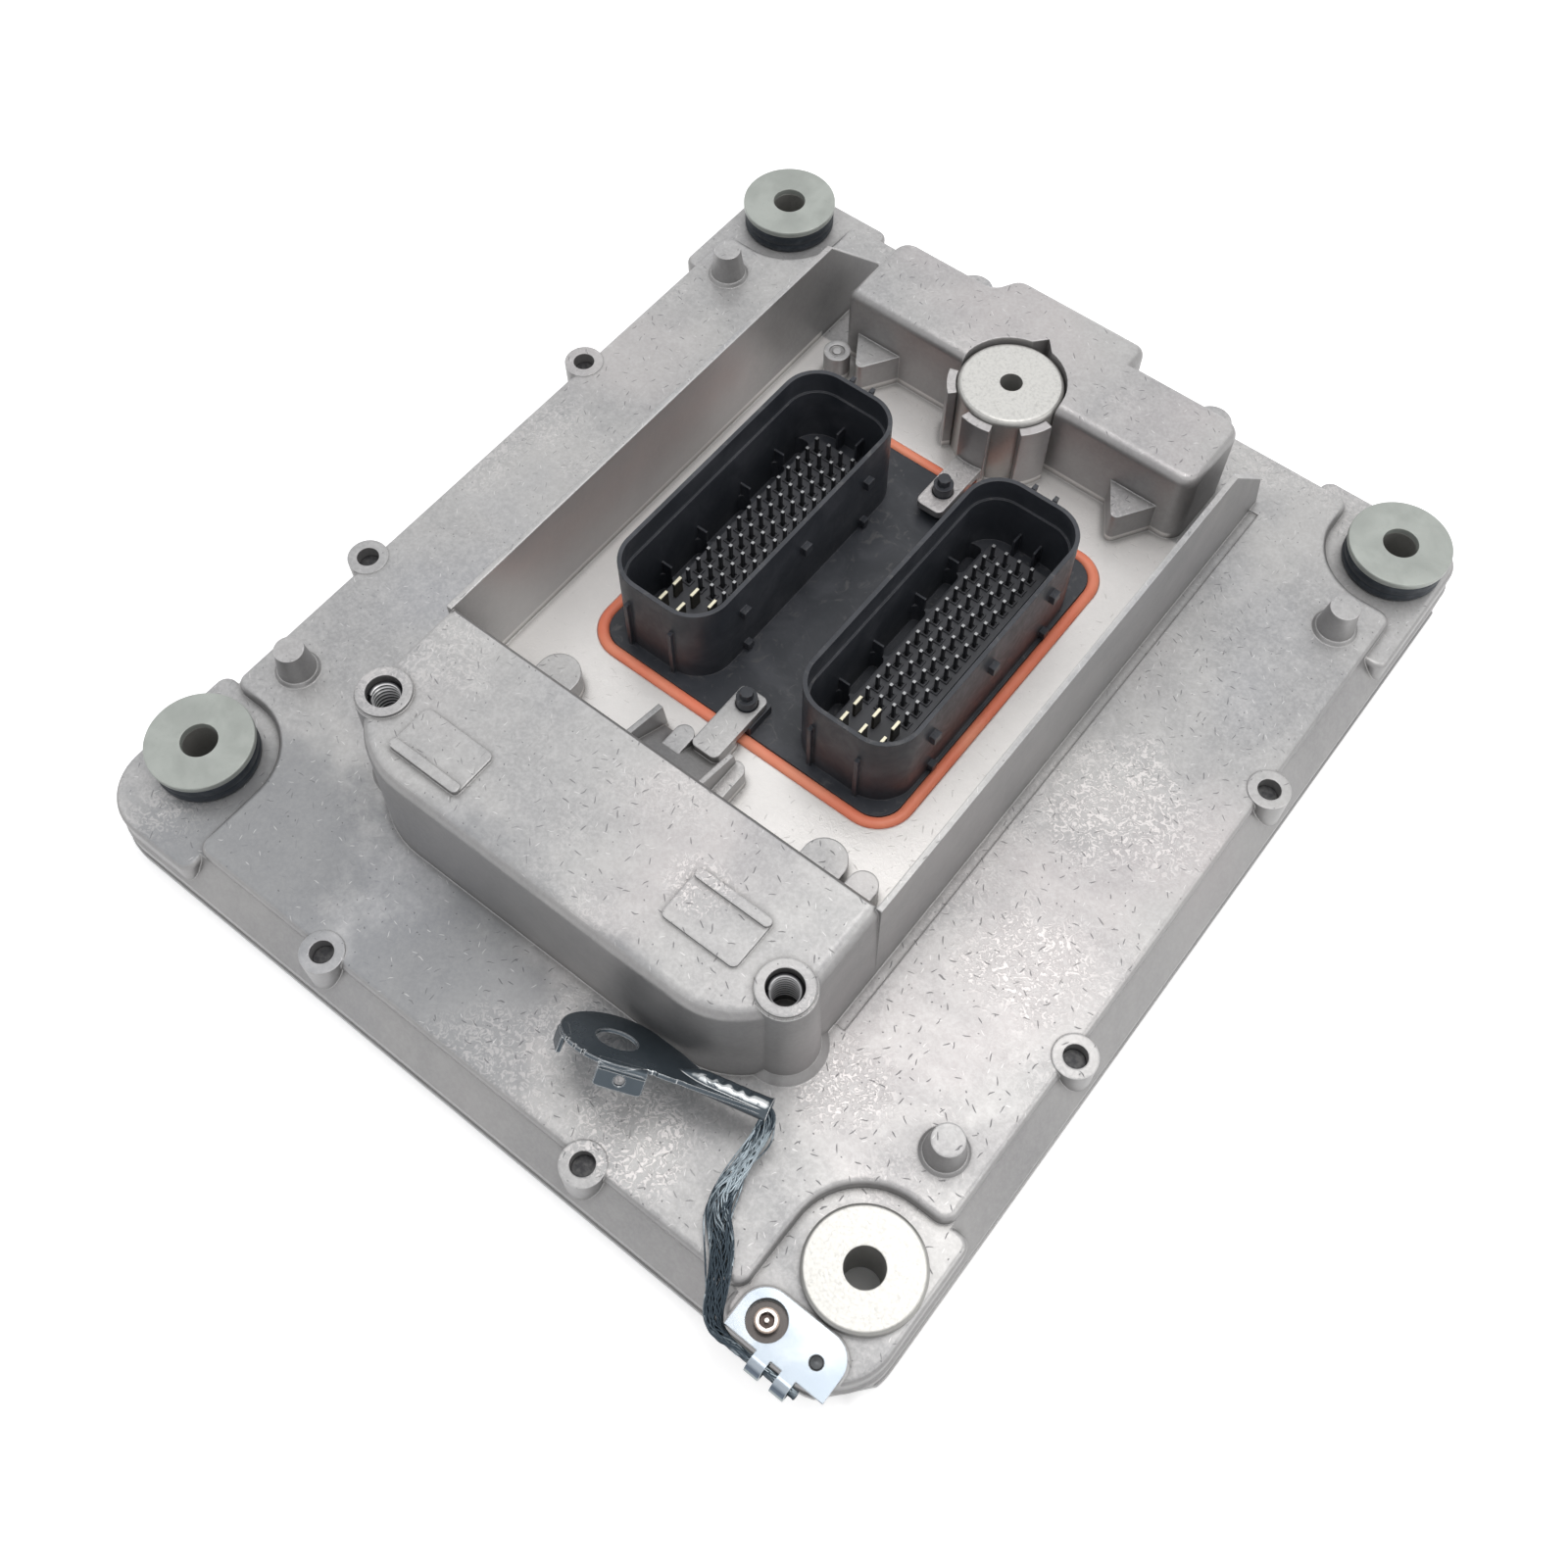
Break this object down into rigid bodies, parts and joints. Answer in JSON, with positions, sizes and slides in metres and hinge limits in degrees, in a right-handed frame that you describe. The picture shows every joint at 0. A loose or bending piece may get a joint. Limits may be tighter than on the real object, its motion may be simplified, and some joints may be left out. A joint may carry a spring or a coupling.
{
  "type": "engine control unit",
  "caption": "Flat die-cast engine controller with a black pin header in a deep well, rubber mounted corners and an earthing strap.",
  "frame": {"origin": "centre of the four mounting axes, on the mounting plane under the isolators", "axes": "+Z out of the mounting plane towards the connectors, +Y from the tall front block towards the rear block, +X to the side of the corner with the earthing bracket"},
  "size_m": [0.2304, 0.2758, 0.0564],
  "materials": {
    "cast_aluminium": "satin, as cast, with faint flow marks",
    "sheet_aluminium": "satin sheet",
    "black_rubber": "matt moulded rubber",
    "zinc_steel": "bright bluish zinc plating",
    "header_plastic": "fine grained black moulding",
    "orange_silicone": "smooth orange-red silicone",
    "carrier_plastic": "dark grey moulding",
    "tin_pins": "tin plated",
    "gold_pins": "gold plated tips",
    "plain_steel": "turned, dull",
    "turned_steel": "turned, satin",
    "stainless_wire": "wire coil",
    "tinned_braid": "tinned copper braid, dark",
    "plated_terminal": "bright plating",
    "board_green": "green solder mask",
    "chip_black": "moulded epoxy",
    "capacitor_can": "plain can",
    "heat_pad": "soft grey pad",
    "washer_steel": "greenish grey plating"
  },
  "bodies": {
    "root": {"cast_housing": "cast_aluminium", "base_plate": "sheet_aluminium", "housing_gasket": "black_rubber", "base_screws": "zinc_steel", "connector_header": "header_plastic", "header_seal": "orange_silicone", "pin_carrier_a": "carrier_plastic", "pin_carrier_b": "carrier_plastic", "signal_pins_a": "tin_pins", "signal_pins_b": "tin_pins", "power_pins_a": "gold_pins", "power_pins_b": "gold_pins", "corner_bush": "plain_steel", "centre_bush": "turned_steel", "thread_insert_left": "stainless_wire", "thread_insert_right": "stainless_wire", "strap_bracket": "zinc_steel", "bracket_screw": "zinc_steel", "strap_braid": "tinned_braid", "ring_terminal": "plated_terminal", "circuit_board": "board_green", "board_screws": "zinc_steel", "processor": "chip_black", "memory_chip": "chip_black", "driver_chips": "chip_black", "front_capacitors": "capacitor_can", "rear_capacitors": "capacitor_can", "power_transistors": "chip_black", "heat_pads": "heat_pad", "isolator_washer_front_left": "washer_steel", "isolator_upper_front_left": "black_rubber", "isolator_lower_front_left": "black_rubber", "isolator_sleeve_front_left": "plain_steel", "isolator_washer_rear_right": "washer_steel", "isolator_upper_rear_right": "black_rubber", "isolator_lower_rear_right": "black_rubber", "isolator_sleeve_rear_right": "plain_steel", "isolator_washer_rear_left": "washer_steel", "isolator_upper_rear_left": "black_rubber", "isolator_lower_rear_left": "black_rubber", "isolator_sleeve_rear_left": "plain_steel"}
  },
  "joints": []
}
